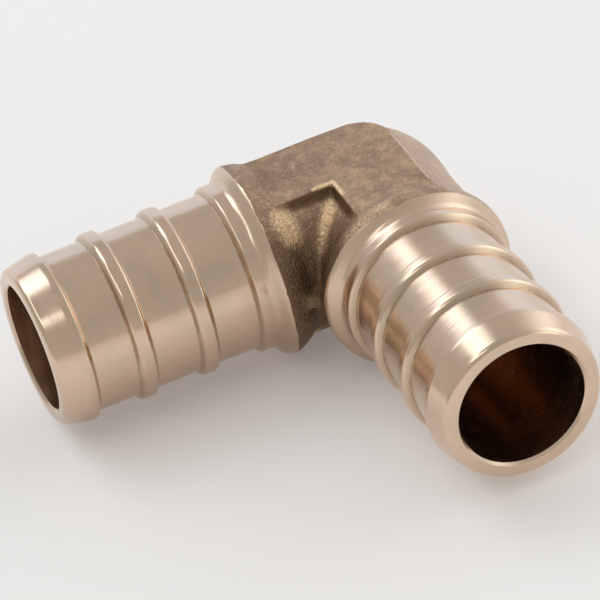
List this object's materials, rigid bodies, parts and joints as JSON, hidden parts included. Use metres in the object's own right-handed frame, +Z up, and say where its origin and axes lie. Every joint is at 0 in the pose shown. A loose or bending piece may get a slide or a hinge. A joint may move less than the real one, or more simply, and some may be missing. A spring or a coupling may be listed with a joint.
{
  "type": "pex crimp elbow fitting",
  "caption": "Right-angle brass insert elbow with barbed ends, for joining flexible water tubing with crimp rings.",
  "frame": {"origin": "where the centre lines of the two arms cross, inside the elbow", "axes": "+X out along one barbed arm, +Y out along the other, +Z up through the wider of the two L-shaped forged flats"},
  "size_m": [0.0323, 0.0323, 0.0138],
  "materials": {
    "brass": "satin turned ends, rough as-forged body"
  },
  "bodies": {
    "root": {"elbow": "brass"}
  },
  "joints": []
}
